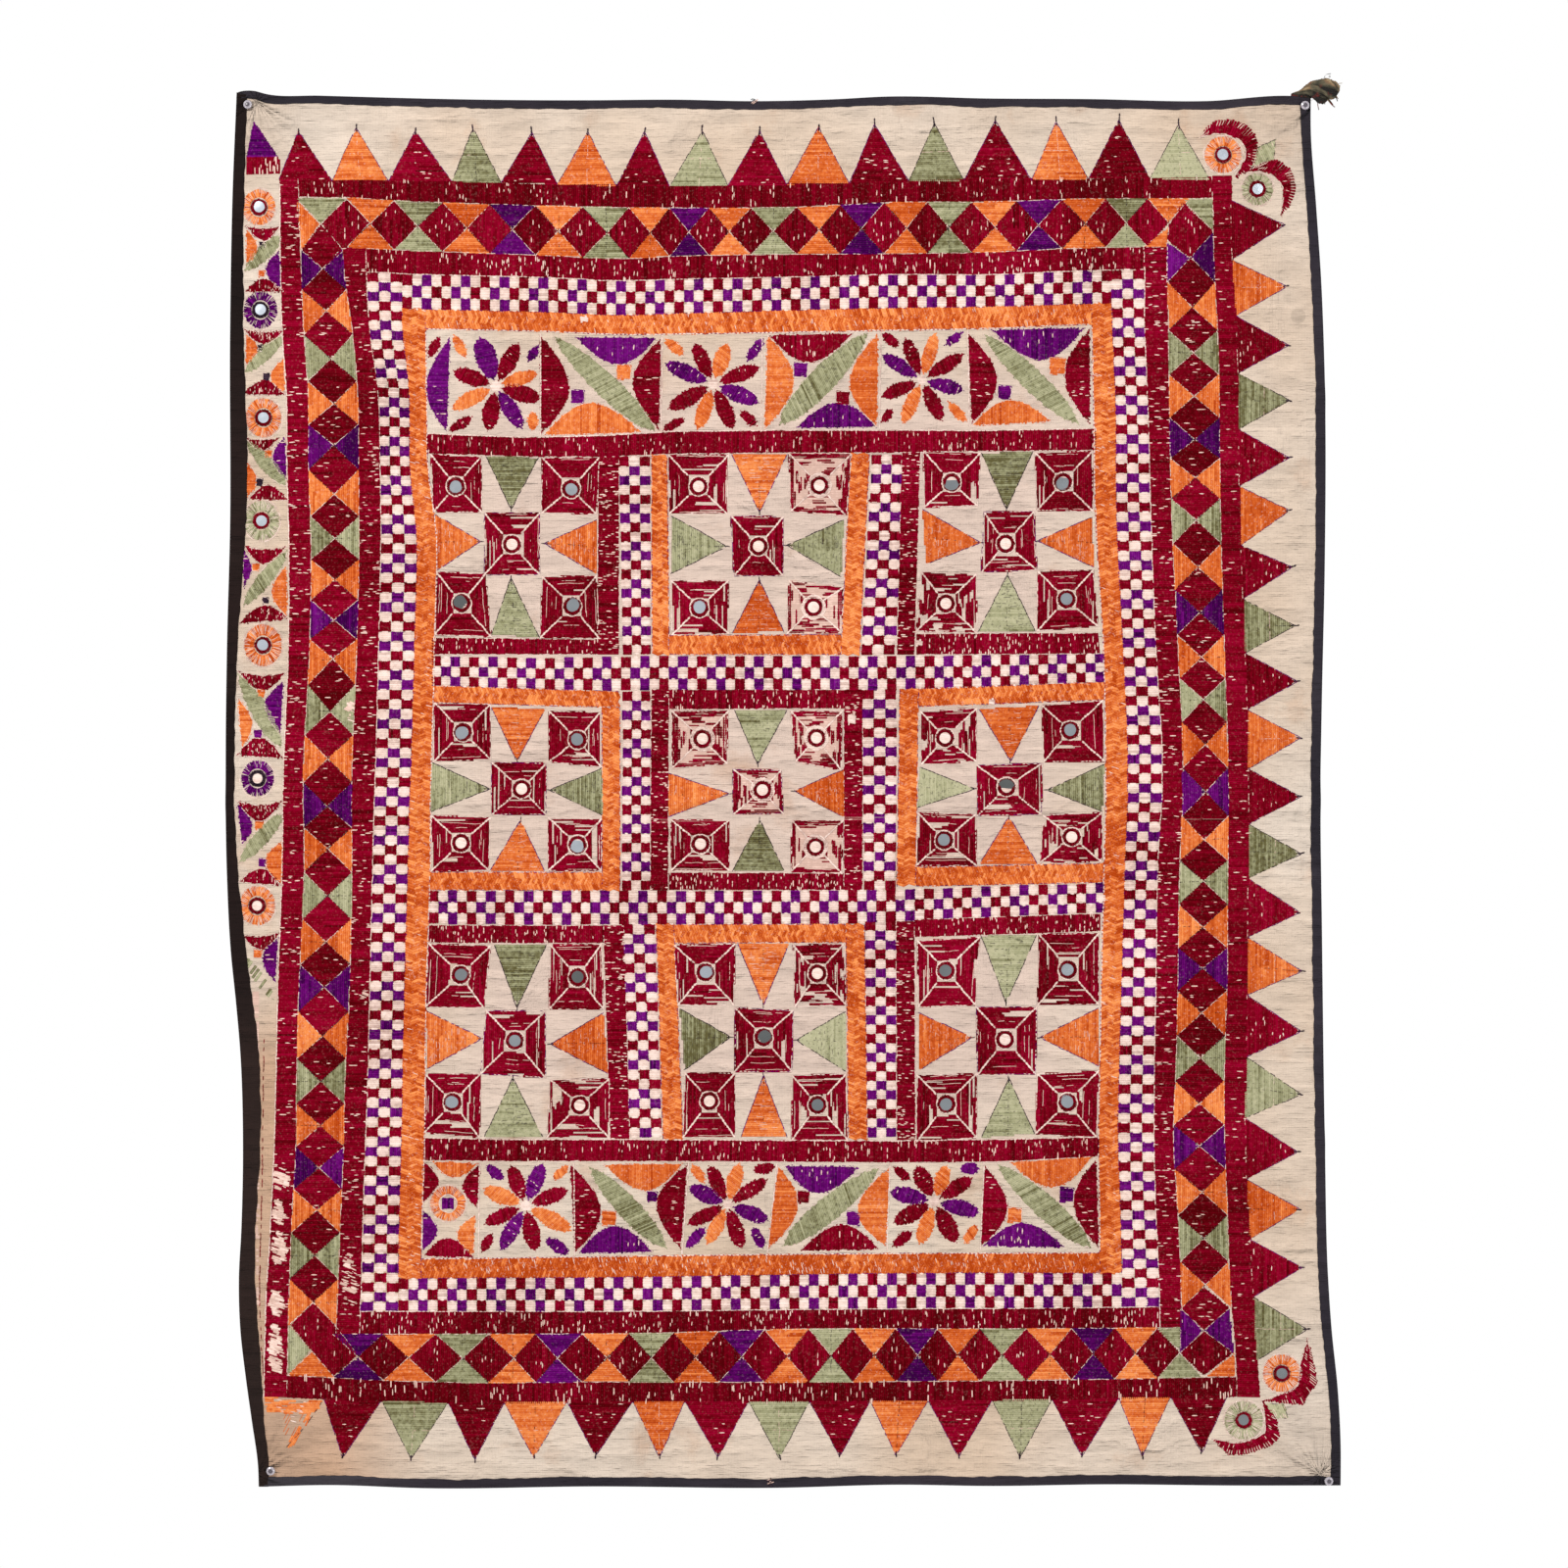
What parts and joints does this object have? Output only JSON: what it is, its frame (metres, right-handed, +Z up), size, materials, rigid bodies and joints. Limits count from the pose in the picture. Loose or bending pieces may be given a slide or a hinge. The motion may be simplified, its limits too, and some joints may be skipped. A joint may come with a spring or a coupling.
{
  "type": "embroidered wall tapestry and push pins",
  "caption": "Cotton wall hanging with dense geometric embroidery, small round mirrors, dark bound edges and a rag tied at one corner, held flat to a wall by push pins.",
  "frame": {"origin": "on the wall plane, at the middle of the hanging's top edge", "axes": "+Z up; +X to the right seen from the front; the embroidered face looks along -Y and the wall is y = 0"},
  "size_m": [1.2507, 0.0267, 1.5804],
  "materials": {
    "embroidered_cotton": "cream cotton covered with crimson, orange, green, purple and cream silk thread, low sheen",
    "dark_binding": "folded near-black cotton strip, matte",
    "mirror_glass": "thin hand-cut mirror glass",
    "clear_plastic": "clear moulded pin heads with steel needles, glossy",
    "faded_rag": "faded brown and green twisted cotton rag, matte and frayed"
  },
  "bodies": {
    "root": {"cloth": "embroidered_cotton", "binding_left": "dark_binding", "binding_right": "dark_binding", "binding_top": "dark_binding", "binding_bottom": "dark_binding", "push_pin_top_left": "clear_plastic", "push_pin_top_right": "clear_plastic", "push_pin_bottom_left": "clear_plastic", "push_pin_bottom_right": "clear_plastic", "mirror_square_01": "mirror_glass", "mirror_square_02": "mirror_glass", "mirror_square_03": "mirror_glass", "mirror_square_04": "mirror_glass", "mirror_square_05": "mirror_glass", "mirror_square_06": "mirror_glass", "mirror_square_07": "mirror_glass", "mirror_square_08": "mirror_glass", "mirror_square_09": "mirror_glass", "mirror_square_10": "mirror_glass", "mirror_square_11": "mirror_glass", "mirror_square_12": "mirror_glass", "mirror_square_13": "mirror_glass", "mirror_square_14": "mirror_glass", "mirror_square_15": "mirror_glass", "mirror_square_16": "mirror_glass", "mirror_square_17": "mirror_glass", "mirror_square_18": "mirror_glass", "mirror_square_19": "mirror_glass", "mirror_square_20": "mirror_glass", "mirror_square_21": "mirror_glass", "mirror_square_22": "mirror_glass", "mirror_square_23": "mirror_glass", "mirror_square_24": "mirror_glass", "mirror_square_25": "mirror_glass", "mirror_border_1": "mirror_glass", "mirror_border_2": "mirror_glass", "mirror_border_3": "mirror_glass", "mirror_border_4": "mirror_glass", "mirror_border_5": "mirror_glass", "mirror_border_6": "mirror_glass", "mirror_border_7": "mirror_glass", "mirror_border_8": "mirror_glass", "mirror_border_9": "mirror_glass", "corner_rag": "faded_rag"}
  },
  "joints": []
}
